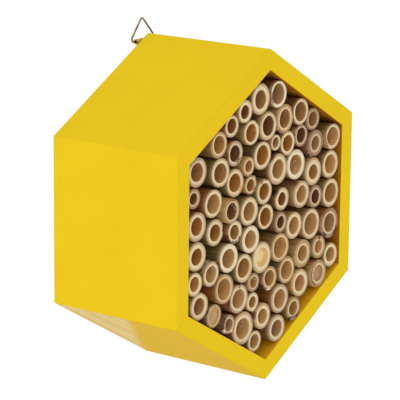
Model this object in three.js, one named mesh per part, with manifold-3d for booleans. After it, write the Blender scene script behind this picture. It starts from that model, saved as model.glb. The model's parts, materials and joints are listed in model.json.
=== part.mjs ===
// A hexagonal bee house that hangs on a wall: six mitred boards round a stack of bamboo canes, in which
// solitary bees nest, with a back panel, and a brass plate and wire ring on the top corner of the back.
// Millimetres, +Z up. The origin is the centre of the back face, and the open front looks along -Y.
import * as THREE from "three";
import { mergeVertices } from "three/addons/utils/BufferGeometryUtils.js";
import Module from "manifold-3d";

// ---- Driving dimensions -------------------------------------------------------------------
const heightOverCorners = 175;
const depth = 80;
const boardThickness = 9.5;
const panelThickness = 6;
const gap = 0.3; // between pieces that lie on each other, and round a wire or a nail in its hole

const caneSides = 12;
const caneGap = 0.35; // the least between neighbouring canes, and from a cane to a board
const caneNodes = 49; // the most nodes that the canes may take, so the closest neighbours share one
const knotThickness = 2.5;
const glueBead = { length: 14, width: 2.4, bite: 0.8 }; // bite is how far it reaches into each wall

const hanger = { x: -2, width: 13, bottomZ: 76.8, pivotZ: 83.5, sheet: 0.6, curlSweep: 290 };
const ring = {
  wireRadius: 0.5,
  halfBase: 10.9, // to where the straight side would meet a leg, if the corner were sharp
  height: 12.6, // likewise, up to the sharp top
  cornerRadius: 1.4,
  topRadius: 1.5,
  joint: 0.6, // between the wire's two ends, which meet in the middle of the straight side
  lean: 4, // degrees back from upright
};
const nail = { z: 79.6, spread: 3.6, length: 8, taper: 1.5, radius: 0.6, headRadius: 1.6, headHeight: 0.8 };

// ---- Worked out from them -----------------------------------------------------------------
const radians = THREE.MathUtils.degToRad;
const mitre = radians(30); // half the angle that the frame turns through at a corner
const outsideFlat = (heightOverCorners / 2) * Math.cos(mitre); // from the middle to a board's outer face
const insideFlat = outsideFlat - boardThickness;
const boardDirections = {
  side_right: 0,
  roof_right: 60,
  roof_left: 120,
  side_left: 180,
  floor_left: 240,
  floor_right: 300,
};
const plateFace = gap + hanger.sheet;
const curlRadius = ring.wireRadius + gap;
const pivotY = plateFace + curlRadius;
const nailHoleRadius = nail.radius + gap;
const nailX = { left: hanger.x - nail.spread, right: hanger.x + nail.spread };

// ---- Materials ----------------------------------------------------------------------------
const finish = (color, roughness, metalness = 0) =>
  new THREE.MeshStandardMaterial({ color, roughness, metalness });
const yellowPaint = finish(0xe8c61e, 0.55);
const bareWood = finish(0xd9c08a, 0.75);
const bamboo = finish(0xc9ab78, 0.7);
const brass = finish(0xa98c4e, 0.35, 1);

// ---- Solids: booleans, placing, and the shapes that repeat --------------------------------
const wasm = await Module();
wasm.setup();

function toSolid(geometry) {
  const bare = geometry.clone();
  bare.deleteAttribute("normal");
  bare.deleteAttribute("uv");
  const merged = mergeVertices(bare, 1e-3);
  return new wasm.Manifold(
    new wasm.Mesh({
      numProp: 3,
      vertProperties: merged.attributes.position.array,
      triVerts: new Uint32Array(merged.index.array),
    }),
  );
}

function toGeometry(solid) {
  const mesh = solid.getMesh();
  return new THREE.BufferGeometry()
    .setAttribute("position", new THREE.BufferAttribute(mesh.vertProperties, 3))
    .setIndex(new THREE.BufferAttribute(mesh.triVerts, 1));
}

const house = new THREE.Group();

function addPiece(name, geometry, material) {
  const piece = new THREE.Mesh(geometry, material);
  piece.name = name;
  house.add(piece);
}

// A closed outline of [x, z] points, drawn out along Y.
function prism(outline, fromY, toY) {
  const shape = new THREE.Shape(outline.map(([x, z]) => new THREE.Vector2(x, -z)));
  const solid = new THREE.ExtrudeGeometry(shape, { depth: toY - fromY, bevelEnabled: false });
  return solid.rotateX(-Math.PI / 2).translate(0, fromY, 0);
}

// A round piece along Y, from a profile of [radius, y] points.
function turned(profile, sides) {
  return new THREE.LatheGeometry(profile.map(([radius, y]) => new THREE.Vector2(radius, y)), sides);
}

function nailHole(x) {
  const bottom = -nail.length - gap;
  const profile = [
    [0, bottom],
    [nailHoleRadius, bottom],
    [nailHoleRadius, depth],
    [0, depth],
  ];
  return toSolid(turned(profile, 12).translate(x, 0, nail.z));
}

// ---- The frame ----------------------------------------------------------------------------
// A board lies across its outward direction, and both its ends are cut on the corners' mitre planes.
function boardOutline(direction) {
  const out = new THREE.Vector2(Math.cos(direction), Math.sin(direction));
  const along = new THREE.Vector2(-out.y, out.x);
  const point = (flat, side) => {
    const halfLength = flat * Math.tan(mitre) - gap / 2 / Math.cos(mitre);
    return out.clone().multiplyScalar(flat).addScaledVector(along, side * halfLength).toArray();
  };
  return [point(insideFlat, -1), point(outsideFlat, -1), point(outsideFlat, 1), point(insideFlat, 1)];
}

function addFrame() {
  const nailIn = { roof_left: nailX.left, roof_right: nailX.right };
  for (const [name, degrees] of Object.entries(boardDirections)) {
    let board = prism(boardOutline(radians(degrees)), -depth, 0);
    if (name in nailIn) board = toGeometry(toSolid(board).subtract(nailHole(nailIn[name])));
    addPiece(name, board, yellowPaint);
  }
}

function addBackPanel() {
  const corner = (insideFlat - gap) / Math.cos(mitre);
  const outline = Object.values(boardDirections).map((degrees) => [
    corner * Math.cos(radians(degrees) + mitre),
    corner * Math.sin(radians(degrees) + mitre),
  ]);
  addPiece("back_panel", prism(outline, -panelThickness, 0), bareWood);
}

// ---- The canes ----------------------------------------------------------------------------
// One line per cane, in rows from the roof down: how far right of the middle and how far up it lies,
// its outside and bore diameters, how far its cut end stands back from the front rim and, where a
// natural knot closes the cane near that end, how far in the knot is.
const caneBack = -panelThickness - gap;
const canes = [
  [-5.5, 62, 16, 9.5, 1.5],
  [9.5, 62.5, 14, 10.5, 1.5],

  [-30, 52, 11.5, 7.5, 1.5],
  [-19.5, 58, 12, 7, 1],
  [30, 51, 14, 10, 2],
  [42, 45, 12, 8, 2.5],

  [-13.5, 46.5, 13, 9, 1],
  [0.5, 47.5, 15, 10, 1],
  [15.5, 49, 15, 9.5, 1.5],
  [-40.5, 44, 13.5, 9, 1.5],
  [-25, 37, 13, 8.5, 3],

  [-58, 33, 15, 9.5, 1.5],
  [-38.5, 29.5, 15, 10, 2],
  [8.5, 37.5, 8.5, 5.5, 2],
  [19.5, 35.5, 13, 8.5, 2.5],
  [32.5, 37.5, 12, 8, 3],
  [44.5, 32, 14, 7.5, 2],
  [59, 33, 14, 10, 1],

  [-14.5, 28.5, 10, 6, 2],
  [-2.5, 32.5, 15, 10, 2.5],
  [11, 23.5, 16.5, 10, 2],
  [27.5, 23, 16, 10.5, 2.5],
  [42, 16.5, 15, 8, 1.5],
  [58, 18, 15, 10, 1.5],

  [-60, 20, 10.5, 6, 2],
  [-43.5, 14.5, 14.5, 10, 2.5],
  [-25.5, 22, 14.5, 9.5, 2.5],
  [-12, 18.5, 10.5, 6.5, 2.5],
  [-1, 13.5, 13.5, 8.5, 2],

  [-58, 5, 15, 9, 1.5],
  [-30.5, 8.5, 13, 8.5, 0.5],
  [-15, 5.5, 15, 9.5, 1],
  [1.5, -0.5, 13.5, 9.5, 2.5],
  [17, 6, 12.5, 7, 3.5],
  [31, 6.5, 14.5, 9, 1],
  [44.5, 3, 12, 7.5, 1],
  [58.5, 2.5, 15.5, 10.5, 1],

  [-40.5, -1, 14, 8.5, 3.5],
  [-25.5, -3.5, 12, 7.5, 2],
  [-13.5, -9.5, 14.5, 9.5, 1],
  [13, -5.5, 11, 6.5, 1],
  [25, -9.5, 14.5, 9, 1.5],
  [41, -11.5, 16.5, 11.5, 1.5],
  [57.5, -14, 16.5, 10, 1],

  [-58, -10, 15, 8.5, 1.5],
  [-32, -15.5, 15, 10, 1],
  [-3, -21, 16.5, 10, 1.5, 3],
  [13, -19, 15.5, 11, 1.5],
  [34, -26.5, 15, 8.5, 1.5],
  [48, -25.5, 12.5, 7, 1],
  [59.5, -32, 13, 8, 1],

  [-59.5, -24, 12, 7.5, 1],
  [-46.5, -21, 13, 8.5, 1],
  [-36, -31, 15.5, 11, 0.5],
  [-19, -23.5, 15, 10, 1],
  [-9.5, -33, 10, 6, 1.5],
  [5, -34, 13, 8.5, 2],
  [20.5, -32.5, 14.5, 10, 2],

  [-56, -36.5, 14.5, 8.5, 2],
  [-40.5, -44.5, 12.5, 9, 3.5, 2],
  [-22.5, -39, 15.5, 10, 1.5],
  [-9.5, -43.5, 10.5, 6, 2],
  [13, -46.5, 15.5, 10, 1],
  [32, -42, 15, 9, 1.5],
  [47.5, -40, 15, 9, 0.5, 1.5],

  [-30.5, -51, 10.5, 6.5, 1.5],
  [-17, -56, 17.5, 11, 2.5],
  [-1.5, -53, 14, 8, 1.5],
  [25, -54.5, 12.5, 7.5, 0.5],

  [-5.5, -66, 11.5, 7.5, 3.5],
  [10, -62, 14.5, 9, 0.5],
].map(([x, z, outside, bore, setBack, knotDepth], i) => ({
  label: String(i + 1).padStart(2, "0"),
  place: new THREE.Vector2(x, z),
  radius: outside / 2,
  bore: bore / 2,
  front: setBack - depth,
  knotDepth,
}));

const space = (a, b) => a.place.distanceTo(b.place) - a.radius - b.radius;

// Canes that lie too close push each other apart, and the boards push them back in.
function settle() {
  for (let round = 0; round < 400; round++) {
    canes.forEach((a, i) =>
      canes.slice(i + 1).forEach((b) => {
        const push = Math.max(0, caneGap - space(a, b)) / 2;
        const away = b.place.clone().sub(a.place).normalize();
        a.place.addScaledVector(away, -push);
        b.place.addScaledVector(away, push);
      }),
    );
    for (const cane of canes)
      for (const degrees of Object.values(boardDirections)) {
        const out = new THREE.Vector2(Math.cos(radians(degrees)), Math.sin(radians(degrees)));
        const over = cane.place.dot(out) + cane.radius + caneGap - insideFlat;
        cane.place.addScaledVector(out, -Math.max(0, over));
      }
  }
}

// The closest neighbours, no cane twice, in as many pairs as bring the canes down to their nodes.
function closestPairs() {
  const neighbours = canes.flatMap((a, i) => canes.slice(i + 1).map((b) => [a, b]));
  neighbours.sort((p, q) => space(...p) - space(...q));
  const taken = new Set();
  const pairs = [];
  for (const pair of neighbours) {
    if (pairs.length === canes.length - caneNodes) break;
    if (pair.some((cane) => taken.has(cane))) continue;
    pair.forEach((cane) => taken.add(cane));
    pairs.push(pair);
  }
  return pairs;
}

function caneGeometry({ place, radius, bore, front, knotDepth }) {
  const knot = front + knotDepth;
  const open = [
    [bore, front],
    [radius, front],
    [radius, caneBack],
    [bore, caneBack],
  ];
  const profile = knotDepth
    ? [[0, knot], [bore, knot], ...open, [bore, knot + knotThickness], [0, knot + knotThickness]]
    : [...open, open[0]];
  return turned(profile, caneSides).translate(place.x, 0, place.y);
}

// The glue between two canes at their back ends. It reaches into both walls, but into neither bore.
function beadGeometry(a, b) {
  const away = b.place.clone().sub(a.place);
  const middle = a.place.clone().addScaledVector(away.clone().normalize(), a.radius + space(a, b) / 2);
  return new THREE.BoxGeometry(space(a, b) + 2 * glueBead.bite, glueBead.length, glueBead.width)
    .rotateY(-away.angle())
    .translate(middle.x, caneBack - glueBead.length / 2, middle.y);
}

function addCanes() {
  settle();
  const pairs = closestPairs();
  for (const [a, b] of pairs) {
    const joined = toSolid(caneGeometry(a)).add(toSolid(caneGeometry(b))).add(toSolid(beadGeometry(a, b)));
    addPiece(`canes_${a.label}_${b.label}`, toGeometry(joined), bamboo);
  }
  for (const cane of canes)
    if (!pairs.flat().includes(cane)) addPiece(`cane_${cane.label}`, caneGeometry(cane), bamboo);
}

// ---- The hanger ---------------------------------------------------------------------------
// The brass sheet lies up the back, and then curls away from the wood and round the ring's wire.
function addHangerPlate() {
  const start = Math.PI;
  const end = Math.PI - radians(hanger.curlSweep);
  const section = new THREE.Shape(); // across it is Y, and up it is Z
  section.moveTo(gap, hanger.bottomZ);
  section.lineTo(plateFace, hanger.bottomZ);
  section.absarc(pivotY, hanger.pivotZ, curlRadius, start, end, true);
  section.absarc(pivotY, hanger.pivotZ, curlRadius + hanger.sheet, end, start, false);
  const sheet = new THREE.ExtrudeGeometry(section, {
    depth: hanger.width,
    bevelEnabled: false,
    curveSegments: 10,
  });
  const alongX = new THREE.Matrix4().makeBasis(
    new THREE.Vector3(0, 1, 0),
    new THREE.Vector3(0, 0, 1),
    new THREE.Vector3(1, 0, 0),
  );
  sheet.applyMatrix4(alongX).translate(hanger.x - hanger.width / 2, 0, 0);
  const plate = Object.values(nailX).reduce((solid, x) => solid.subtract(nailHole(x)), toSolid(sheet));
  addPiece("hanger_plate", toGeometry(plate), brass);
}

function addHangerNails() {
  const seat = plateFace + gap;
  const profile = [
    [0, seat - nail.length],
    [nail.radius, seat - nail.length + nail.taper],
    [nail.radius, seat],
    [nail.headRadius, seat],
    [nail.headRadius * 0.85, seat + nail.headHeight * 0.6],
    [nail.headRadius * 0.45, seat + nail.headHeight * 0.95],
    [0, seat + nail.headHeight],
  ];
  for (const [side, x] of Object.entries(nailX))
    addPiece(`hanger_nail_${side}`, turned(profile, 12).translate(x, 0, nail.z), brass);
}

// The ring is one wire, drawn upright with its straight side on the X axis, and then leant back.
function addHangerRing() {
  const { wireRadius, halfBase, height, cornerRadius, topRadius, joint, lean } = ring;
  const slope = Math.atan2(height, halfBase);
  const cornerX = halfBase - cornerRadius / Math.tan(slope / 2);
  const outward = Math.PI / 2 - slope; // the way that the right leg faces
  const loop = new THREE.Path();
  loop.moveTo(joint / 2, 0);
  loop.absarc(cornerX, cornerRadius, cornerRadius, -Math.PI / 2, outward, false);
  loop.absarc(0, height - topRadius / Math.cos(slope), topRadius, outward, Math.PI - outward, false);
  loop.absarc(-cornerX, cornerRadius, cornerRadius, Math.PI - outward, Math.PI * 1.5, false);
  loop.lineTo(-joint / 2, 0);
  const steps = 76;
  const path = loop.getSpacedPoints(steps).map(({ x, y }) => new THREE.Vector3(x, 0, y));
  const wire = new THREE.Shape();
  wire.absarc(0, 0, wireRadius, 0, 2 * Math.PI);
  const bent = new THREE.ExtrudeGeometry(wire, {
    steps,
    extrudePath: new THREE.CatmullRomCurve3(path),
    curveSegments: 4,
  });
  bent.rotateX(-radians(lean)).translate(hanger.x, pivotY, hanger.pivotZ);
  addPiece("hanger_ring", bent, brass);
}

addFrame();
addBackPanel();
addCanes();
addHangerPlate();
addHangerNails();
addHangerRing();

export default house;
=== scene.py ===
"""The looks of a hexagonal bee house: painted boards, 71 bamboo canes, and a brass plate and wire ring.

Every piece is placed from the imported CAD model. Lengths inside the functions are in millimetres, in the
model's frame (front along -Y, +Z up), and become metres when a piece is made.
"""

import json
import math
import random

import bmesh
import bpy
import numpy as np
from mathutils import Matrix, Vector


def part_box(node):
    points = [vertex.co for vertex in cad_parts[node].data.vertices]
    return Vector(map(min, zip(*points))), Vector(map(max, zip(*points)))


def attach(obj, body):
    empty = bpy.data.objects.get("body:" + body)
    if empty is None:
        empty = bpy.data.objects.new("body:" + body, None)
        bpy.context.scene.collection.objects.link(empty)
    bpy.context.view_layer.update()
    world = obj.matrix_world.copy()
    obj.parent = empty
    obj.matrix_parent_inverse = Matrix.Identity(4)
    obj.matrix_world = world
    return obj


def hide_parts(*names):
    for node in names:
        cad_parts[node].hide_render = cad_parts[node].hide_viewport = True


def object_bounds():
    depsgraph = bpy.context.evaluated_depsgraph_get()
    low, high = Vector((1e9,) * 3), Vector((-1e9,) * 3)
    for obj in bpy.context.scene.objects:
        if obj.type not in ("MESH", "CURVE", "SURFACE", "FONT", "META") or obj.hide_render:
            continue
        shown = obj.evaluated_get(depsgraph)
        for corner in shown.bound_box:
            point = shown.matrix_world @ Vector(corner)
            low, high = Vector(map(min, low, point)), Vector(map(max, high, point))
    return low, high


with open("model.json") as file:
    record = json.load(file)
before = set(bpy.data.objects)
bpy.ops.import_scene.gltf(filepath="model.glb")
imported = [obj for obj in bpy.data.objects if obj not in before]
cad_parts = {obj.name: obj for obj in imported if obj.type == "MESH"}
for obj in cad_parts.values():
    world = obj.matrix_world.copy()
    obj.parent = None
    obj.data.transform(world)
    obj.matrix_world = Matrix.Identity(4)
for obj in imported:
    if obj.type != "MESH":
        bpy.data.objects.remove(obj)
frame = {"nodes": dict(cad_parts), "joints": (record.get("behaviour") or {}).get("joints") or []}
cad_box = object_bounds()

MM = 0.001
PER_MM = (1 / MM,) * 3  # from a shader's metres to millimetres

# ---- Camera and light ---------------------------------------------------------------------
CAMERA = {
    "azimuth": -52.5,
    "elevation": 13.2,
    "roll": 0.58,
    "distance": 1144.9,
    "target": (-5.66, -40.01, 4.01),
    "lens": 197.1,  # focal length, with a sensor 36 mm wide
}
FLOOR_DROP = 150.0  # from the lowest corner down to the floor
FLOOR_REACH = 8.0  # metres from the middle to each side

# ---- Colours, as they look in full light (8 bits a channel) ---------------------------------
LIGHT = 1.13  # how bright a white surface that faces the light comes out
YELLOW = (227, 193, 28)
# painted shade: the yellow as it looks in the shade inside the house, first ochre and then brown; the ochre
# also darkens the outer front edges a little
OCHRE_SHADE = (225, 165, 30)
BROWN_SHADE = (170, 110, 22)
THIN_YELLOW = (216, 175, 8)
WOOD = (226, 204, 144)
WOOD_STREAK = (212, 180, 114)
# The outer colour of each rim is partly the wall's own darker outer layer and partly painted shade of the
# rounded outer edge.
RIMS = {  # round the bore, towards the outside, and where the second one starts across the wall
    "cream": ((222, 201, 160), (176, 148, 106), 0.5),
    "white": ((230, 213, 180), (212, 192, 156), 0.5),
    "blush": ((219, 198, 160), (178, 147, 112), 0.4),
    "warm": ((218, 194, 150), (166, 131, 88), 0.3),
    "pink": ((212, 186, 148), (154, 122, 92), 0.25),
}
BORES = {
    "orange": (192, 140, 74),
    "amber": (182, 122, 54),
    "umber": (158, 100, 42),
    "brown": (177, 130, 75),
    "tan": (204, 157, 97),
    "grey": (180, 138, 92),
    "dark": (134, 88, 47),
    "black": (119, 76, 42),
    "pink": (208, 158, 103),
}
SKINS = {
    "tan": (150, 114, 62),
    "olive": (128, 102, 56),
    "green": (130, 116, 66),
    "brown": (128, 88, 48),
    "rust": (152, 92, 46),
    "gold": (186, 146, 88),
}
MARKS = {
    "rust": (136, 86, 50),
    "red": (100, 55, 36),
    "purple": (80, 52, 42),
    "rose": (158, 114, 82),
    "orange": (202, 148, 90),
    "dark": (58, 32, 22),
    "tan": (180, 142, 92),
    "grey": (156, 134, 108),
    "pale": (230, 214, 180),
}
FIBRE_COLOUR = (206, 178, 134)
WHITE_PITH = (246, 238, 216)
PALE_PITH = (226, 202, 158)
RUST_STAIN = (140, 84, 46)  # on the canes' skin
PLYWOOD = (224, 200, 150)
PLYWOOD_GRAIN = (205, 170, 112)
SHEET_BRASS = ((214, 188, 122), (150, 120, 66))  # bright and dull
WIRE_BRASS = ((160, 138, 98), (98, 80, 52))

# ---- What each cane looks like --------------------------------------------------------------
# Number: its bore, skin and rim, and then its own features. Angles are in degrees as seen from the front,
# from the right towards the top. A mark is (colour, middle, half width, from, to), with 0 at the bore's
# edge and 1 at the outside; above 1 it goes on along the skin. A chip is ("chip", middle, half width,
# depth) and lowers the outside, a bump raises it, and a bay widens the bore.
SHAPED = ("chip", "bump", "bay")
LOOKS = {
    1: ("brown brown cream",),
    2: ("grey brown white", ("rust", 195, 30, 0.1, 1.4), ("chip", 160, 9, 0.5),
        ("tan", 225, 20, 0.6, 1.6)),
    3: ("umber rust blush", ("red", 170, 10, 0.8, 1.5)),
    4: ("dark tan cream", ("dark", 265, 9, 0.75, 1.3)),
    5: ("brown brown cream", ("chip", 128, 20, 0.5), ("grey", 300, 14, 0.7, 1.3)),
    6: ("brown brown pink", ("grey", 10, 50, 0.7, 1.5), ("rose", 60, 20, 0.8, 1.3)),
    7: ("amber tan cream", ("chip", 47, 9, 0.45), ("bump", 25, 14, 0.25)),
    8: ("dark olive cream", ("tan", 95, 80, 0.5, 1.5)),
    9: ("brown gold warm", ("rust", 25, 16, 0.7, 1.5), ("red", 240, 12, 0.8, 1.6)),
    10: ("orange tan warm", ("red", 12, 18, 0.85, 1.7), ("rose", 340, 20, 0.8, 1.5)),
    11: ("black brown blush", ("tan", 165, 34, 0.4, 1.6), ("rust", 185, 18, 0.5, 1.3),
         ("red", 305, 24, 0.0, 0.4), ("grey", 50, 40, 0.45, 1.5), ("orange", 120, 18, 0.6, 1.3)),
    12: ("brown olive blush", ("grey", 110, 38, 0.3, 1.4)),
    13: ("brown olive cream", ("chip", 268, 7, 0.25)),
    14: ("grey tan cream", ("tan", 120, 60, 0.75, 1.5)),
    15: ("amber brown cream", ("rust", 325, 34, 0.8, 1.7), ("rust", 215, 30, 0.8, 1.7),
         ("bay", 170, 8, 0.5), ("bay", 140, 7, 0.4), ("bump", 283, 16, 0.35), ("chip", 235, 9, 0.3)),
    16: ("black brown pink", ("rust", 165, 22, 0.6, 1.8), ("orange", 150, 14, 0.7, 1.5),
         ("bay", 130, 14, 0.5)),
    17: ("grey brown pink", ("rose", 215, 45, 0.6, 1.9), ("rust", 235, 12, 0.8, 1.9),
         ("rose", 60, 40, 0.8, 1.6)),
    18: ("tan olive cream", ("rust", 198, 36, 0.3, 1.0), ("tan", 190, 40, 0.9, 1.6)),
    19: ("orange gold warm", ("rose", 250, 22, 0.8, 1.5)),
    20: ("amber olive cream",),
    21: ("tan brown blush", ("red", 128, 22, 0.85, 2.4), ("chip", 122, 18, 0.3)),
    22: ("tan brown white",),
    23: ("orange tan cream", ("tan", 90, 55, 0.8, 1.5), ("rust", 48, 8, 0.85, 1.4)),
    24: ("tan brown cream", ("bay", 352, 7, -0.25)),
    25: ("dark brown pink",),
    26: ("tan rust cream",),
    27: ("amber olive cream", ("orange", 325, 17, 0.1, 1.1)),
    28: ("amber brown warm", ("purple", 265, 45, 0.5, 1.7), ("red", 325, 22, 0.05, 0.5),
         ("tan", 190, 30, 0.6, 1.6), ("bump", 48, 13, 0.6), ("chip", 100, 16, 0.25)),
    29: ("amber green cream", ("rust", 112, 12, 0.3, 1.1), ("red", 80, 7, 0.6, 1.1)),
    30: ("amber olive blush", ("rust", 100, 30, 0.85, 1.8)),
    31: ("dark gold warm", ("rust", 86, 18, 0.3, 1.3), ("tan", 215, 34, 0.6, 2.0),
         ("grey", 285, 40, 0.5, 1.4)),
    32: ("tan olive cream", ("rust", 24, 12, 0.75, 1.3)),
    33: ("amber brown cream",),
    34: ("umber olive cream", ("chip", 138, 22, 0.8), ("dark", 138, 20, 1.3, 2.6),
         ("bay", 140, 20, -0.35)),
    35: ("tan tan blush", ("chip", 122, 13, 0.5), ("rust", 118, 14, 1.1, 2.2),
         ("grey", 240, 14, 0.6, 1.2), ("bay", 130, 20, -0.35)),
    36: ("black tan pink", ("rust", 135, 10, 0.8, 1.5), ("dark", 268, 10, 0.8, 1.2)),
    37: ("orange olive cream",),
    38: ("amber olive cream", ("chip", 2, 12, 0.9), ("tan", 310, 12, 0.5, 1.2)),
    39: ("brown brown cream", ("red", 212, 26, 0.7, 1.7), ("dark", 250, 9, 0.2, 0.7),
         ("dark", 275, 8, 0.3, 0.9), ("red", 312, 12, 0.3, 0.9)),
    40: ("tan olive white",),
    41: ("black brown pink", ("rust", 330, 20, 0.9, 1.6)),
    42: ("tan tan cream",),
    43: ("tan tan cream", ("tan", 200, 60, 0.85, 1.6)),
    44: ("grey rust pink", ("rust", 115, 32, 0.45, 1.3), ("purple", 232, 16, 0.35, 1.2),
         ("purple", 320, 22, 0.45, 1.8), ("rose", 180, 30, 0.6, 1.8), ("rose", 20, 40, 0.8, 1.8)),
    45: ("amber olive cream", ("dark", 52, 5, 0.8, 1.1)),
    46: ("tan olive white", ("rust", 208, 28, 0.9, 2.4)),
    47: ("tan green cream",),
    48: ("tan tan warm", ("rust", 335, 14, 0.85, 1.4), ("orange", 345, 22, 0.65, 1.2)),
    49: ("tan gold warm", ("tan", 150, 100, 0.45, 1.7)),
    50: ("tan green warm", ("red", 84, 11, 0.1, 1.2), ("chip", 84, 9, 0.3)),
    51: ("tan olive cream",),
    52: ("orange olive cream",),
    53: ("tan olive blush", ("grey", 120, 24, 0.6, 1.5), ("chip", 318, 10, 0.35)),
    54: ("tan rust warm", ("tan", 60, 60, 0.7, 1.6), ("tan", 280, 18, 0.7, 1.3)),
    55: ("orange green cream", ("orange", 318, 24, 0.35, 1.2)),
    56: ("orange brown pink", ("tan", 200, 60, 0.7, 1.6), ("bay", 345, 10, -0.45)),
    57: ("orange green warm", ("purple", 215, 26, 0.75, 1.8), ("rose", 178, 24, 0.7, 1.3),
         ("pale", 262, 14, 0.5, 1.2), ("chip", 300, 9, 0.25)),
    58: ("tan green warm",),
    59: ("brown olive cream", ("chip", 52, 18, 0.35), ("chip", 236, 16, 0.3)),
    60: ("pink olive warm", ("grey", 172, 42, 0.3, 1.3), ("purple", 150, 10, 0.8, 1.2)),
    61: ("tan rust blush", ("rust", 86, 7, 0.2, 1.3), ("chip", 88, 9, 0.6),
         ("rose", 195, 42, 0.7, 1.8), ("red", 180, 22, 0.85, 1.3)),
    62: ("orange brown cream", ("bump", 284, 15, 0.6), ("chip", 248, 14, 0.3)),
    63: ("tan rust blush",),
    64: ("pink gold cream", ("orange", 182, 60, 0.65, 2.2), ("tan", 230, 30, 0.6, 1.4)),
    65: ("pink rust warm", ("red", 185, 62, 0.35, 0.7), ("rose", 130, 22, 0.4, 1.6),
         ("tan", 190, 70, 0.8, 1.8)),
    66: ("grey brown pink", ("purple", 165, 45, 0.35, 1.2), ("dark", 268, 30, 0.55, 1.3),
         ("pale", 215, 12, 0.4, 1.2), ("pale", 300, 10, 0.3, 1.0)),
    67: ("tan rust blush", ("tan", 95, 40, 0.7, 1.3)),
    68: ("tan brown blush", ("red", 168, 14, 0.7, 1.4), ("tan", 80, 50, 0.75, 1.3)),
    69: ("orange olive warm", ("dark", 237, 13, 0.4, 1.5), ("dark", 312, 20, 0.35, 1.5),
         ("red", 272, 24, 0.1, 0.4)),
    70: ("tan brown cream", ("bump", 8, 9, 0.3)),
    71: ("grey brown blush",),
}


def linear(colour):
    """An 8-bit screen colour in the linear numbers that a shader takes."""
    parts = [c / 255 for c in colour]
    return tuple(c / 12.92 if c < 0.04045 else ((c + 0.055) / 1.055) ** 2.4 for c in parts)


def base(colour):
    """The base colour, with an alpha of 1, of a surface that looks like this colour in full light."""
    return tuple(c / LIGHT for c in linear(colour)) + (1.0,)


def plain(colour):
    """The same as base, without the alpha, to reckon with."""
    return np.array(base(colour)[:3])


# ---- Meshes -------------------------------------------------------------------------------
def box_mm(node):
    """The low and high corners of a CAD node's box, in millimetres."""
    return [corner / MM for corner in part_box(node)]


def add_object(name, data):
    made = bpy.data.objects.new(name, data)
    bpy.context.scene.collection.objects.link(made)
    return made


def solid_mesh(name, points, faces):
    """A mesh from points in millimetres, with its faces turned to look outwards."""
    mesh = bpy.data.meshes.new(name)
    mesh.from_pydata([tuple(p) for p in np.asarray(points, float) * MM], [], faces)
    work = bmesh.new()
    work.from_mesh(mesh)
    bmesh.ops.recalc_face_normals(work, faces=work.faces)
    work.to_mesh(mesh)
    work.free()
    return mesh


def add_piece(name, points, faces, material, body="house", replaces=()):
    mesh = solid_mesh(name, points, faces)
    mesh.shade_smooth()
    mesh.materials.append(material)
    piece = add_object(name, mesh)
    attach(piece, body)
    if replaces:
        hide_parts(*replaces)
    return piece


def store(piece, name, kind, values):
    """Keeps a value for every point of the mesh, for the material to read."""
    field = {"FLOAT_COLOR": "color", "FLOAT_VECTOR": "vector", "FLOAT": "value"}[kind]
    attribute = piece.data.attributes.new(name, kind, "POINT")
    attribute.data.foreach_set(field, np.asarray(values, np.float32).ravel())


def band_faces(rings, around, start=0, wrap=False):
    """Quads between rings of points, each ring closed. With wrap, the last ring joins the first."""
    faces = []
    for i in range(rings if wrap else rings - 1):
        a = start + i * around
        b = start + (i + 1) % rings * around
        for j in range(around):
            k = (j + 1) % around
            faces.append((a + j, a + k, b + k, b + j))
    return faces


def end_faces(count, around):
    """The two flat faces that close a band, from its first ring to its last."""
    return [tuple(range(around)), tuple(range(count - around, count))]


def fan_faces(tip, first, around):
    """Triangles from one point to a closed ring that starts at the point first."""
    return [(first + j, first + (j + 1) % around, tip) for j in range(around)]


def arc(x, z, radius, start, sweep, steps):
    """Points along an arc, with its angles in degrees."""
    turns = [math.radians(start + sweep * i / steps) for i in range(steps + 1)]
    return [(x + radius * math.cos(turn), z + radius * math.sin(turn)) for turn in turns]


def circle(x, z, radius, around):
    return arc(x, z, radius, 0, 360, around)[:-1]


def between(a, b, shares):
    """Points of the straight line from a to b, at shares of its length."""
    return [(a[0] + (b[0] - a[0]) * share, a[1] + (b[1] - a[1]) * share) for share in shares]


def smoothstep(low, high, x):
    t = np.clip((np.asarray(x, float) - low) / (high - low), 0, 1)
    return t * t * (3 - 2 * t)


def angle_between(a, b):
    """The smallest angle between two directions, in degrees."""
    return np.abs((np.asarray(a, float) - b + 180) % 360 - 180)


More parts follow.
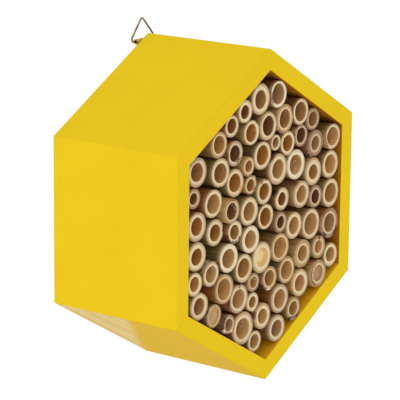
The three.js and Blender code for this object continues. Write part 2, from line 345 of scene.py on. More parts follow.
# ---- Materials ----------------------------------------------------------------------------
class Shader:
    """A material whose nodes are made and joined in one call each."""

    def __init__(self, name):
        self.material = bpy.data.materials.new(name)
        self.material.use_nodes = True
        self.tree = self.material.node_tree
        self.surface = self.tree.nodes["Principled BSDF"]

    def node(self, kind, inputs=None, **settings):
        made = self.tree.nodes.new(kind)
        for key, value in settings.items():
            setattr(made, key, value)
        self.feed(made, inputs or {})
        return made

    def feed(self, node, inputs):
        for key, value in inputs.items():
            if isinstance(value, bpy.types.NodeSocket):
                self.tree.links.new(value, node.inputs[key])
            else:
                node.inputs[key].default_value = value

    def attribute(self, name):
        return self.node("ShaderNodeAttribute", attribute_name=name)

    def place(self):
        """The point in the object's own frame, in millimetres."""
        return self.stretched(self.node("ShaderNodeTexCoord").outputs["Object"], PER_MM)

    def channels(self, name):
        """The three numbers of a colour attribute."""
        colour = self.attribute(name).outputs["Color"]
        return self.node("ShaderNodeSeparateColor", {0: colour}).outputs[:3]

    def math(self, operation, a, b, clamp=False):
        return self.node("ShaderNodeMath", {0: a, 1: b}, operation=operation, use_clamp=clamp).outputs[0]

    def plus(self, a, b):
        return self.math("ADD", a, b)

    def times(self, a, b, clamp=False):
        return self.math("MULTIPLY", a, b, clamp)

    def stretched(self, vector, scale):
        return self.node("ShaderNodeMapping", {"Vector": vector, "Scale": scale}).outputs[0]

    def noise(self, vector, scale, detail=3.0, roughness=0.55, distortion=0.0):
        """Noise, with one scale or a scale along each axis."""
        if isinstance(scale, tuple):
            vector, scale = self.stretched(vector, scale), 1.0
        inputs = {"Vector": vector, "Scale": scale, "Detail": detail}
        inputs |= {"Roughness": roughness, "Distortion": distortion}
        return self.node("ShaderNodeTexNoise", inputs).outputs["Fac"]

    def ranged(self, value, low, high, to_low=0.0, to_high=1.0):
        inputs = {"Value": value, "From Min": low, "From Max": high, "To Min": to_low, "To Max": to_high}
        return self.node("ShaderNodeMapRange", inputs, interpolation_type="SMOOTHSTEP").outputs[0]

    def mix(self, factor, a, b, blend="MIX"):
        inputs = {0: factor, 6: a, 7: b}
        return self.node("ShaderNodeMix", inputs, data_type="RGBA", blend_type=blend).outputs[2]

    def scaled(self, colour, factor):
        """The colour times a number."""
        grey = self.node("ShaderNodeCombineColor", {0: factor, 1: factor, 2: factor}).outputs[0]
        return self.mix(1.0, colour, grey, "MULTIPLY")

    def bump(self, height, distance, strength=1.0):
        inputs = {"Height": height, "Distance": distance * MM, "Strength": strength}
        return self.node("ShaderNodeBump", inputs).outputs[0]

    def finish(self, **inputs):
        names = {key.replace("_", " "): value for key, value in inputs.items()}
        self.feed(self.surface, names)
        return self.material


def paint_material():
    """Satin yellow paint on smooth wood. It is thin under the house, and missing from part of it."""
    s = Shader("yellow_paint")
    grain = s.attribute("grain").outputs["Vector"]
    bare, thin, shade_and_edge_darkening = s.channels("coat")
    place = s.place()
    streaks = s.noise(grain, (0.012, 0.45, 0.45), 5.0, 0.62, 0.4)
    fine = s.noise(grain, (0.05, 2.2, 2.2))
    cloud = s.noise(place, 0.03)
    speckle = s.noise(place, 1.6, 2.0)
    wood = s.mix(s.ranged(streaks, 0.42, 0.66), base(WOOD), base(WOOD_STREAK))
    wood = s.scaled(wood, s.ranged(fine, 0.3, 0.7, 0.94, 1.05))
    tone = s.ranged(cloud, 0.3, 0.7, -0.018, 0.018)
    tone = s.plus(tone, s.ranged(streaks, 0.3, 0.7, 0.997, 1.003))
    # painted shade: the yellow turns ochre and then brown inside the house, where shade and warm bounced
    # light fall; the ochre also darkens the outer front edges a little
    yellow = s.mix(s.times(shade_and_edge_darkening, 2.0, clamp=True), base(YELLOW), base(OCHRE_SHADE))
    yellow = s.mix(s.ranged(shade_and_edge_darkening, 0.5, 1.0), yellow, base(BROWN_SHADE))
    yellow = s.scaled(s.mix(thin, yellow, base(THIN_YELLOW)), tone)
    ragged = s.plus(s.times(streaks, 0.14), s.times(speckle, 0.04))
    gone = s.ranged(s.plus(bare, ragged), 0.56, 0.66)
    worn = s.times(thin, s.ranged(streaks, 0.35, 0.7, 0.0, 0.06))
    worn = s.math("MAXIMUM", worn, s.times(gone, s.ranged(streaks, 0.3, 0.7, 0.97, 0.9)))
    height = s.plus(s.times(streaks, 0.6), s.times(speckle, 0.35))
    return s.finish(
        Base_Color=s.mix(worn, yellow, wood),
        Roughness=s.ranged(s.plus(worn, s.times(cloud, 0.2)), 0.0, 1.0, 0.46, 0.8),
        Normal=s.bump(height, 0.05, 0.5),
        Specular_IOR_Level=0.01,
    )


def bare_wood_material():
    """Pale plywood, with yellow overspray towards its edge."""
    s = Shader("bare_wood")
    place = s.place()
    spray = s.attribute("spray").outputs["Fac"]
    rings = s.noise(place, (0.09, 0.3, 0.008), 4.0, 0.6, 1.2)
    lines = s.node(
        "ShaderNodeTexWave",
        {"Vector": s.stretched(place, (0.03, 0.1, 0.003)), "Scale": 1.1, "Distortion": 9.0, "Detail": 2.0},
    ).outputs["Fac"]
    pores = s.noise(place, (2.4, 2.4, 0.12))
    wood = s.mix(s.ranged(lines, 0.3, 1.0, 0.0, 0.55), base(PLYWOOD), base(PLYWOOD_GRAIN))
    wood = s.mix(s.ranged(rings, 0.45, 0.75, 0.0, 0.5), wood, base(WOOD_STREAK))
    wood = s.scaled(wood, s.ranged(pores, 0.3, 0.7, 0.9, 1.05))
    dots = s.noise(place, 1.1, 3.0, 0.7)
    cover = s.ranged(s.plus(spray, s.times(dots, 0.5)), 0.55, 1.0, 0.0, 0.85)
    return s.finish(
        Base_Color=s.mix(cover, wood, base(YELLOW)),
        Roughness=s.ranged(pores, 0.3, 0.7, 0.62, 0.82),
        Normal=s.bump(pores, 0.08, 0.6),
        Specular_IOR_Level=0.3,
    )


def bamboo_material():
    """Cut bamboo. The mesh gives each point's own colour, and how far it is skin, cut end or bore."""
    s = Shader("bamboo")
    grain = s.attribute("grain").outputs["Vector"]
    tint = s.attribute("tint").outputs["Color"]
    skin, end, bore = s.channels("part")
    streaks = s.noise(grain, (0.9, 0.03, 0.9), 4.0, 0.65, 0.3)
    hairs = s.noise(grain, (4.0, 0.09, 4.0), 2.0)
    blotch = s.noise(grain, 0.22)
    cells = {"Vector": grain, "Scale": 1.9, "Randomness": 0.9}
    dots = s.node("ShaderNodeTexVoronoi", cells).outputs["Distance"]
    fluff = s.noise(grain, 1.3, 4.0, 0.7)
    patches = s.noise(grain, (0.5, 0.07, 0.5))
    skin_tone = s.plus(s.ranged(streaks, 0.3, 0.72, -0.3, 0.22), s.ranged(hairs, 0.3, 0.7, -0.1, 0.08))
    end_tone = s.plus(s.ranged(dots, 0.05, 0.3, -0.09, 0.015), s.ranged(blotch, 0.3, 0.7, -0.045, 0.03))
    bore_tone = s.plus(s.ranged(fluff, 0.3, 0.75, -0.07, 0.09), s.ranged(blotch, 0.3, 0.7, -0.08, 0.08))
    tone = s.plus(s.times(skin, skin_tone), s.times(end, end_tone))
    tone = s.plus(tone, s.times(bore, bore_tone))
    colour = s.scaled(tint, s.plus(tone, 1.0))
    rust = s.times(skin, s.ranged(patches, 0.56, 0.7, 0.0, 0.4))
    height = s.times(skin, s.plus(s.times(streaks, 0.8), s.times(hairs, 0.3)))
    height = s.plus(height, s.times(end, s.ranged(dots, 0.0, 0.35, 0.0, 0.35)))
    height = s.plus(height, s.times(bore, s.times(fluff, 0.5)))
    return s.finish(
        Base_Color=s.mix(rust, colour, base(RUST_STAIN)),
        Roughness=s.ranged(s.plus(skin, s.times(streaks, 0.3)), 0.0, 1.3, 0.82, 0.42),
        Normal=s.bump(height, 0.12, 0.55),
        Specular_IOR_Level=0.3,
    )


def metal_material(name, bright, dull, roughness):
    """Thin brass, brighter where it is rubbed and duller in patches."""
    s = Shader(name)
    place = s.place()
    tarnish = s.noise(place, 0.5, 4.0, 0.65)
    scratches = s.noise(place, (0.6, 7.0, 7.0), 3.0, 0.6)
    colour = s.mix(s.ranged(tarnish, 0.38, 0.68), base(bright), base(dull))
    return s.finish(
        Base_Color=s.scaled(colour, s.ranged(scratches, 0.3, 0.7, 0.92, 1.06)),
        Metallic=1.0,
        Roughness=s.ranged(s.plus(tarnish, scratches), 0.7, 1.3, roughness - 0.07, roughness + 0.12),
        Normal=s.bump(scratches, 0.02, 0.4),
    )


def floor_material():
    """Nearly white, and slightly bright of itself, so that it meets the background without a line."""
    s = Shader("studio_floor")
    place = s.node("ShaderNodeTexCoord").outputs["Object"]
    return s.finish(
        Base_Color=s.scaled((0.9, 0.9, 0.9, 1.0), s.ranged(s.noise(place, 3.0), 0.3, 0.7, 0.995, 1.0)),
        Roughness=0.9,
        Specular_IOR_Level=0.1,
        Emission_Color=(1.0, 1.0, 1.0, 1.0),
        Emission_Strength=0.14,
    )


paint = paint_material()
bare_wood = bare_wood_material()
bamboo = bamboo_material()
brass = metal_material("brass", *SHEET_BRASS, 0.32)
wire_brass = metal_material("wire_brass", *WIRE_BRASS, 0.3)

# ---- The frame's boards -------------------------------------------------------------------
BOARDS = ("side_right", "roof_right", "roof_left", "side_left", "floor_left", "floor_right")
right_low, right_high = box_mm("side_right")
OUTSIDE_FLAT = right_high.x
THICKNESS = right_high.x - right_low.x
FRONT = right_low.y
MITRE = math.radians(30)  # half the angle that the frame turns through at a corner
CORNER_RADIUS = 0.35  # of the frame's outer corners, over both boards
ARRIS = 0.28  # radius of a board's long edges
HAIRLINE = 0.006  # half the gap at a mitre
FILLED_JOINT, OPEN_JOINT = 0.01, 0.2  # how far a mitre's edges are eased back
JOINT_EASE = {("floor_left", -1): OPEN_JOINT, ("side_left", 1): OPEN_JOINT}
MITRE_SHARP = math.radians(32)  # the sharpest edge of a board that is still shaded smooth
BARE_REACH = {"floor_left": 0.64, "floor_right": 0.42}  # how far the bare wood reaches under the house
# How much painted shade the paint shows inside the house, and how much darker it gets along the outer front
# edges.
INSIDE_PAINTED_SHADE = {"side_right": 1.0, "roof_right": 1.0, "roof_left": 1.0}
OTHER_INSIDE_PAINTED_SHADE = 0.5
EDGE_DARKENING = {"roof_left": 0.28}
OTHER_EDGE_DARKENING = 0.1


def rounded_section(inset):
    """A board's section as points [depth below the outer face, y], rounded at its four corners."""
    radius = max(ARRIS - inset, 0.1)
    low_d, high_d = inset + radius, THICKNESS - inset - radius
    low_y, high_y = FRONT + inset + radius, -inset - radius
    middles = ((low_d, low_y), (high_d, low_y), (high_d, high_y), (low_d, high_y))
    corners = [arc(d, y, radius, 180 + 90 * i, 90, 6) for i, (d, y) in enumerate(middles)]
    section = []
    for corner, following in zip(corners, corners[1:] + corners[:1]):
        section += corner
        # a few points along each flat, so that the shading stays flat there
        section += between(corner[-1], following[0], (0.02, 0.25, 0.5, 0.75, 0.98))
    return section


def board_column(place, side, ease):
    """Points [out, along, y] of the section at one place along half a board, from 0 in the middle.
    place is ("flat", share), ("arc", share) round the frame's corner, or ("end", 0) on the mitre."""
    kind, share = place
    inset = ease if kind == "end" else 0.0
    column = []
    for d, y in rounded_section(inset):
        flat = OUTSIDE_FLAT - d
        radius = max(CORNER_RADIUS - d, 0.0)
        straight = (flat - radius) * math.tan(MITRE)
        if kind == "flat":
            out, along = flat, (straight - 1.2) * share
        else:
            turn = MITRE * (share if kind == "arc" else 1)
            out = flat - radius + radius * math.cos(turn)
            along = straight + radius * math.sin(turn)
            back = HAIRLINE if kind == "end" else HAIRLINE + ease
            along -= back / math.cos(MITRE)
        column.append((out, side * along, y))
    return column


def coat_of(name, out, along, y):
    """How bare a board is at a point, how thin its paint is there, how much painted shade it has inside the
    house, and how much its outer front edge is darkened.
    """
    board_length = 2 * OUTSIDE_FLAT * math.tan(MITRE)
    bare, thin, shade_and_edge_darkening = 0.0, 0.0, 0.0
    if name in BARE_REACH and out > OUTSIDE_FLAT - 0.3 * ARRIS:
        to_corner = (along if name == "floor_left" else -along) / board_length + 0.5
        bare = 0.5 + BARE_REACH[name] * (1 - to_corner) - y / FRONT
        thin = 1.0
    if out < OUTSIDE_FLAT - THICKNESS + 0.3 * ARRIS:
        shade_and_edge_darkening = INSIDE_PAINTED_SHADE.get(name, OTHER_INSIDE_PAINTED_SHADE)
    # the outer front edges are darkened a little towards ochre
    elif out > OUTSIDE_FLAT - 0.9 * ARRIS and y < FRONT + 0.9 * ARRIS:
        shade_and_edge_darkening = EDGE_DARKENING.get(name, OTHER_EDGE_DARKENING)
    return max(0.0, min(bare, 1.0)), thin, shade_and_edge_darkening


def add_board(name, degrees):
    out_direction = np.array([math.cos(math.radians(degrees)), 0, math.sin(math.radians(degrees))])
    along_direction = np.array([-out_direction[2], 0, out_direction[0]])
    flats = [("flat", share) for share in (1, 0.97, 0.75, 0.5, 0.25)]
    ends = [("end", 0), ("arc", 1), ("arc", 0.66), ("arc", 0.33), ("arc", 0)]
    columns = []
    for side, places in ((-1, ends + flats), (0, [("flat", 0)]), (1, (ends + flats)[::-1])):
        ease = JOINT_EASE.get((name, side), FILLED_JOINT)
        columns += [board_column(place, side, ease) for place in places]
    local = np.array(columns)
    around = local.shape[1]
    local = local.reshape(-1, 3)
    points = local[:, :1] * out_direction + local[:, 1:2] * along_direction
    points[:, 1] = local[:, 2]
    faces = band_faces(len(columns), around) + end_faces(len(local), around)
    piece = add_piece(name + "_board", points, faces, paint, replaces=[name])
    piece.data.set_sharp_from_angle(angle=MITRE_SHARP)
    offset = 137.0 * degrees / 60  # so that no two boards have the same grain
    store(piece, "grain", "FLOAT_VECTOR", np.stack([local[:, 1] + offset, local[:, 2], local[:, 0]], 1))
    store(piece, "coat", "FLOAT_COLOR", [(*coat_of(name, *row), 1.0) for row in local])


def add_back_panel():
    """A hexagonal panel with eased edges, in rings from its middle out to its rim and back again."""
    low, high = box_mm("back_panel")
    flat = high.x
    ease = 0.3
    spray_reach, most_spray = 26, 0.62
    face_rings = [10, 25, 40, 50, 57, 61, flat - 2, flat - 2 * ease, flat - ease]
    profile = [(r, low.y) for r in face_rings]
    profile += [(flat, low.y + ease), (flat, high.y - ease)]
    profile += [(r, high.y) for r in face_rings[::-1]]
    per_side = 4
    around = 6 * per_side
    points, spray = [(0, low.y, 0)], [0.0]
    for radius, y in profile:
        corners = arc(0, 0, radius / math.cos(MITRE), 30, 360, 6)
        for a, b in zip(corners, corners[1:]):
            points += [(x, y, z) for x, z in between(a, b, np.arange(per_side) / per_side)]
        spray += [float(smoothstep(flat - spray_reach, flat, radius)) * most_spray] * around
    last = len(points)
    points.append((0, high.y, 0))
    spray.append(0.0)
    faces = band_faces(len(profile), around, start=1)
    faces += fan_faces(0, 1, around) + fan_faces(last, last - around, around)
    piece = add_piece("back_board", points, faces, bare_wood, replaces=["back_panel"])
    store(piece, "spray", "FLOAT", spray)


# ---- The canes ----------------------------------------------------------------------------
CANE_AROUND = 96
BORE_EDGE = 0.15  # radius of the cut end's inner edge
BORE_WIDER = 1.03  # than the CAD cane's bore, whose flat sides cut inside the round
OUTER_UNEVEN, INNER_UNEVEN = 0.014, 0.028
RING_POINTS = 24  # a cut end's ring in the CAD mesh has at least as many points, and a knot's fewer
KNOT_WALL = 2.5
DEEP_SHADE = np.array((0.2, 0.26, 0.36))  # how much darker the skin gets towards the back


def cut_ends(node):
    """Where each cane of a CAD node is cut at the front: its middle, radius, bore and knot, from the mesh's
    flat front rings. A ring is a set of front faces that share points."""
    mesh = frame["nodes"][node].data
    points = np.array([v.co for v in mesh.vertices]) / MM
    group = {}

    def find(key):
        while group[key] != key:
            key = group[key]
        return key

    for face in mesh.polygons:
        if face.normal.y > -0.999 or face.center.y / MM > FRONT + 10:
            continue
        keys = [tuple(round(float(c), 2) for c in points[i]) for i in face.vertices]
        for key in keys:
            group.setdefault(key, key)
            group[find(key)] = find(keys[0])
    rings = {}
    for key in group:
        rings.setdefault(find(key), []).append(key)
    ends, knots = [], []
    for ring in rings.values():
        ring = np.array(ring)
        middle = ring.mean(0)
        reach = np.hypot(ring[:, 0] - middle[0], ring[:, 2] - middle[2])
        found = {"x": middle[0], "z": middle[2], "y": middle[1], "radius": reach.max(), "bore": reach.min()}
        (ends if len(ring) >= RING_POINTS else knots).append(found)
    for end in ends:
        behind = [k for k in knots if math.hypot(k["x"] - end["x"], k["z"] - end["z"]) < 1]
        end["knot"] = behind[0]["y"] - end["y"] if behind else None
    level = len(ends) == 2 and abs(ends[0]["z"] - ends[1]["z"]) < 8
    ends.sort(key=lambda end: end["x"] if level else -end["z"])
    return ends


def outline(angles, draw, unevenness):
    """A nearly round outline, as a share of its radius at each angle."""
    shape = np.ones_like(angles)
    for waves, size in ((2, 1.0), (3, 0.5), (5, 0.25), (9, 0.12)):
        shape += unevenness * size * draw.uniform(0.4, 1) * np.cos(waves * angles + draw.uniform(0, 7))
    return shape


def add_marks(colour, number, features, share, angles):
    """A ring's colours with the cane's marks on them. share is how far across the wall the ring is."""
    for feature in features:
        if feature[0] in SHAPED:
            continue
        name, middle, width, low, high = feature
        place = share + 0.06 * np.sin(angles * 11 + number) + 0.03 * np.sin(angles * 23 + 2 * number)
        away = angle_between(np.degrees(angles) + 4 * np.sin(share * 9), middle)
        strength = 1 - smoothstep(width * 0.7, width * 1.25, away)
        strength = strength * smoothstep(low - 0.12, low + 0.12, place)
        strength = strength * (1 - smoothstep(high - 0.12, high + 0.3, place))
        colour = colour + (plain(MARKS[name]) - colour) * (strength * 0.92)[:, None]
    return colour


def store_looks(piece, tints, parts, grain):
    """Keeps each point's colour, its share of skin, cut end and bore, and its place in the grain."""
    alpha = np.ones((len(tints), 1))
    store(piece, "tint", "FLOAT_COLOR", np.hstack([tints, alpha]))
    store(piece, "part", "FLOAT_COLOR", np.hstack([parts, alpha]))
    store(piece, "grain", "FLOAT_VECTOR", grain)


def add_cane(number, end, node):
    """One cane: a skin, an eased cut end and a bore, as rings from the back round to the back again."""
    draw = random.Random(number * 7 + 3)
    names, *features = LOOKS[number]
    bore_name, skin_name, rim_name = names.split()
    angles = np.arange(CANE_AROUND) * 2 * math.pi / CANE_AROUND
    degrees = np.degrees(angles)
    outer = end["radius"] * outline(angles, draw, OUTER_UNEVEN)
    inner = end["bore"] * BORE_WIDER * outline(angles, draw, INNER_UNEVEN)
    shift = [draw.uniform(-0.22, 0.22) for _ in range(2)]
    inner += shift[0] * np.cos(angles) + shift[1] * np.sin(angles)
    chip = np.zeros_like(angles)
    for feature in features:
        if feature[0] in SHAPED:
            kind, middle, width, depth = feature
            dip = depth * np.exp(-((angle_between(degrees, middle) / width) ** 2) * 1.2)
            if kind == "bay":
                inner += dip
            else:
                chip += dip if kind == "chip" else -dip
    front, back = end["y"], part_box(node)[1].y / MM
    length = back - front
    tilt = [draw.uniform(-0.012, 0.012) for _ in range(2)]
    wall = outer - chip - inner
    cut_edge = min(draw.uniform(0.25, 0.5), 0.25 * wall.min())  # radius of the cut end's outer edge

    # Each ring: how far across the wall (0 bore, 1 outside), how far behind the cut, and its part.
    skin_depths = (length, length * 0.7, length * 0.45, 26, 18, 13, 9.5, 7, 5, 3.6, 2.5, 1.8, 1.3)
    rings = [("skin", 0.0, y) for y in skin_depths]
    for turn in np.radians([0, 22.5, 45, 67.5, 90]):
        rings.append(("edge", cut_edge * (1 - math.cos(turn)), cut_edge * (1 - math.sin(turn))))
    rings += [("end", share, 0.0) for share in (0.94, 0.8, 0.62, 0.44, 0.27, 0.12, 0.04)]
    for turn in np.radians([0, 30, 60, 90]):
        rings.append(("lip", BORE_EDGE * (1 - math.sin(turn)), BORE_EDGE * (1 - math.cos(turn))))
    knot = end["knot"]
    depths = [0.5, 0.9, 1.5, 2.3, 3.4, 5, 7, 10, 15, 22, 35, length]
    if knot:
        depths = [d for d in depths if d < knot - 0.35] + [knot - 0.3]
    rings += [("bore", 0.0, y) for y in depths]

    points, tints, parts = [], [], []
    near_bore, near_skin, rim_change = RIMS[rim_name]
    near_bore, near_skin = plain(near_bore), plain(near_skin)
    skin = plain(SKINS[skin_name]) * draw.uniform(0.85, 1.12)
    bore = plain(BORES[bore_name]) * draw.uniform(0.93, 1.06)
    rim_light = draw.uniform(0.94, 1.04)
    for kind, across, y in rings:
        lit = 1.0
        weights = (0.0, 1.0, 0.0)  # skin, cut end and bore
        outside = outer - chip * float(1 - smoothstep(3.0, 11.0, y))
        if kind == "skin":
            radius = outside * (1 + 0.004 * math.sin(y / 9 + number))
            share = np.full_like(angles, 1.0 + 0.35 * min(y / 1.5, 6.0))
            grown = 0.55 + 0.45 * float(smoothstep(0.9, 2.4, y))
            weights = (grown, 1 - grown, 0.0)
        elif kind == "edge":
            radius = outside - across
            share = 1 - across / wall
            grown = 0.55 * (1 - across / cut_edge) ** 2
            weights = (grown, 1 - grown, 0.0)
        elif kind == "end":
            low, high = inner + BORE_EDGE, outside - cut_edge
            radius = low + (high - low) * across
            share = (radius - inner) / wall
        elif kind == "lip":
            radius = inner + across
            share = across / wall
        else:
            radius = inner
            share = np.full_like(angles, -0.12 * min(y / 1.2, 8))
            inside = float(smoothstep(0.25, 0.8, y))
            weights = (0.0, 1 - inside, inside)
            lit = 1 - 0.13 * np.sin(angles)[:, None]  # light from above falls on the bore's lower side
        x, z = radius * np.cos(angles), radius * np.sin(angles)
        lean = (tilt[0] * x + tilt[1] * z) * max(0.0, 1 - y / 20)
        dished = 0.05 * math.sin(math.pi * across) if kind == "end" else 0.0
        points.append(np.stack([end["x"] + x, front + y + lean + dished, end["z"] + z], 1))
        # the rim goes from its colour near the bore to its outer colour: partly the wall's own darker outer
        # layer, partly painted shade on the rounded outer edge
        blend = smoothstep(rim_change - 0.15, rim_change + 0.35, share)[:, None]
        rim = (near_bore + (near_skin - near_bore) * blend) * rim_light
        colour = skin * weights[0] + rim * weights[1] + bore * lit * weights[2]
        if kind == "skin":
            colour = colour * (1 - float(smoothstep(2, 30, y)) * DEEP_SHADE)
        tints.append(add_marks(colour, number, features, share, angles))
        parts.append(np.tile(weights, (CANE_AROUND, 1)))

    points, tints, parts = (np.concatenate(rows) for rows in (points, tints, parts))
    faces = band_faces(len(rings), CANE_AROUND, wrap=not knot)
    if knot:
        made = (points, tints, parts, faces)
        points, tints, parts, faces = close_with_knots(number, end, length, inner, *made)
    piece = add_piece(f"bamboo_{number:02d}", points, faces, bamboo, replaces=[node])
    away = np.array([draw.uniform(0, 400) for _ in range(3)])
    store_looks(piece, tints, parts, points - np.array([end["x"], 0, end["z"]]) + away)


KNOT_LOOKS = {
    47: {"wall": (230, 194, 126), "middle": (240, 222, 174), "off": (0.3, 0.0), "bowl": 1.2},
    60: {"wall": (204, 168, 118), "middle": (190, 152, 102), "off": (0.0, 0.1), "bowl": 0.7},
    65: {"wall": (172, 132, 96), "middle": (176, 138, 100), "off": (0.0, 0.0), "bowl": 0.4},
}


def close_with_knots(number, end, length, inner, points, tints, parts, faces):
    """Closes a cane's bore with its knot: a shallow bowl in front, and a flat disc behind it."""
    look = KNOT_LOOKS[number]
    count = len(inner)
    angles = np.arange(count) * 2 * math.pi / count
    wall, middle = plain(look["wall"]), plain(look["middle"])
    off_x, off_z = look["off"]
    knot_front = end["y"] + end["knot"]
    knot_back = knot_front + KNOT_WALL
    tints[parts[:, 2] > 0.5] = wall
    new_points, new_tints = [points], [tints]

    def ring(share, y, colour_share):
        x, z = share * np.cos(angles), share * np.sin(angles)
        new_points.append(np.stack([end["x"] + inner * x, np.full(count, y), end["z"] + inner * z], 1))
        blend = (1 - smoothstep(0.35, 0.95, np.hypot(x - off_x, z - off_z)))[:, None] * colour_share
        new_tints.append(wall + (middle - wall) * blend)

    def tip(y, tint):
        new_points.append(np.array([[end["x"], y, end["z"]]]))
        new_tints.append(tint[None, :])

    rows = [0.97, 0.9, 0.78, 0.62, 0.45, 0.28, 0.12]
    for share in rows:
        rim_step = -0.25 if share > 0.95 else 0.0
        ring(share, knot_front + look["bowl"] * (1 - share**2) + rim_step, 1.0)
    tip(knot_front + look["bowl"], middle)
    faces = faces + band_faces(len(rows) + 1, count, len(points) - count)
    front_tip = len(points) + len(rows) * count
    faces += fan_faces(front_tip, front_tip - count, count)

    behind = front_tip + 1
    for share, y in ((1.0, end["y"] + length), (1.0, knot_back + 0.4), (0.9, knot_back)):
        ring(share, y, 0.0)
    tip(knot_back, wall)
    faces += band_faces(3, count, behind)
    faces += fan_faces(behind + 3 * count, behind + 2 * count, count)
    faces += [(j, (j + 1) % count, behind + (j + 1) % count, behind + j) for j in range(count)]
    added = sum(len(more) for more in new_points[1:])
    parts = np.concatenate([parts, np.tile((0.0, 0.55, 0.45), (added, 1))])
    return np.concatenate(new_points), np.concatenate(new_tints), parts, faces


# Loose fibres at some cut ends: (middle, spread, how many, length) for those outside the rim, and
# (middle, spread, how many, length, depth, colour) for bits of pith that lie in the bore.
FRAYS = {
    9: (235, 35, 9, 2.6),
    12: (200, 30, 4, 1.6),
    15: (275, 30, 5, 1.6),
    16: (135, 35, 6, 2.0),
    17: (225, 45, 14, 2.8),
    44: (250, 40, 5, 1.8),
    53: (115, 45, 14, 4.2),
    65: (140, 30, 5, 2.2),
    68: (95, 40, 4, 1.8),
}
PITH = {
    7: (15, 10, 2, 1.2, 1.6, WHITE_PITH),
    13: (30, 60, 3, 0.9, 1.2, WHITE_PITH),
    22: (335, 40, 34, 1.5, 5.0, WHITE_PITH),
    31: (20, 14, 3, 1.3, 1.2, WHITE_PITH),
    53: (20, 40, 9, 2.4, 2.4, FIBRE_COLOUR),
    56: (20, 12, 2, 1.1, 1.4, WHITE_PITH),
    67: (30, 40, 16, 2.4, 4.0, PALE_PITH),
}


def hair(start, aim, bend, length, thickness):
    """A thin curved fibre from a point, thinner towards its end: its points and faces."""
    stations, around = 7, 6
    rings = []
    for i in range(stations):
        share = i / (stations - 1)
        middle = start + aim * (length * share) + bend * (length * share**2)
        along = (aim + bend * 2 * share).normalized()
        across = along.cross(Vector((0.31, 0.83, 0.46))).normalized()
        other = along.cross(across)
        size = thickness * (1 - 0.75 * share) * (0.6 if i == 0 else 1)
        rings += [middle + across * a + other * b for a, b in circle(0, 0, size, around)]
    return rings, band_faces(stations, around) + end_faces(len(rings), around)


def add_fibres(number, end):
    """A cane's loose fibres and pith, as one piece."""
    draw = random.Random(number * 11 + 5)
    tint = FIBRE_COLOUR
    points, faces = [], []
    middle = Vector((end["x"], end["y"], end["z"]))

    def add(start, aim, bend, length, thin, thick):
        bend = random_vector(bend)
        length *= draw.uniform(0.5, 1)
        new_points, new_faces = hair(start, aim.normalized(), bend, length, draw.uniform(thin, thick))
        faces.extend(tuple(i + len(points) for i in face) for face in new_faces)
        points.extend(new_points)

    def random_vector(size):
        return Vector([draw.uniform(-size, size) for _ in range(3)])

    def outwards(centre, spread):
        turn = math.radians(centre + draw.uniform(-spread, spread))
        return Vector((math.cos(turn), 0, math.sin(turn)))

    if number in FRAYS:
        centre, spread, count, length = FRAYS[number]
        for _ in range(count):
            out = outwards(centre, spread)
            start = middle + out * (end["radius"] - 0.25) + Vector((0, draw.uniform(0.3, 0.9), 0))
            aim = out * 0.7 + Vector((0, -0.5, 0)) + random_vector(0.6)
            add(start, aim, 0.7, length, 0.08, 0.13)
    if number in PITH:
        centre, spread, count, length, depth, tint = PITH[number]
        for _ in range(count):
            out = outwards(centre, spread)
            around = Vector((-out.z, 0, out.x))
            start = middle + out * (end["bore"] - 0.25) + Vector((0, depth * draw.uniform(0.4, 1.8), 0))
            aim = around * draw.choice((-1, 1)) + Vector((0, draw.uniform(-0.8, 0.8), 0)) - out * 0.25
            add(start, aim, 0.4, length, 0.1, 0.2)
    piece = add_piece(f"fibres_{number:02d}", points, faces, bamboo)
    count = len(points)
    store_looks(piece, [plain(tint)] * count, [(0, 1, 0)] * count, [tuple(p) for p in points])


def add_canes():
    for node in sorted(n for n in frame["nodes"] if n.startswith("cane")):
        numbers = [int(label) for label in node.split("_")[1:]]
        for number, end in zip(numbers, cut_ends(node)):
            add_cane(number, end, node)
            if number in FRAYS or number in PITH:
                add_fibres(number, end)


# ---- The hanger ---------------------------------------------------------------------------
PIVOT = Vector(frame["joints"][0]["pos_m"]) / MM
SHEET = 0.6  # thickness of the brass plate
SHEET_EDGE = 0.14  # radius of its edges
CURL_SWEEP = math.radians(290)
NAIL_HOLE = 0.8  # radius
NAIL_SHANK = 0.6  # radius
NAIL_DOME = 0.8  # height of a nail's head


def rounded_strip(thickness, width, radius):
    """A flat strip's section as points [through it, across it], rounded at its four corners."""
    a, b = thickness / 2 - radius, width / 2 - radius
    section = []
    for i, (middle_a, middle_b) in enumerate(((a, b), (-a, b), (-a, -b), (a, -b))):
        section += arc(middle_a, middle_b, radius, 90 * i, 90, 3)
    return section


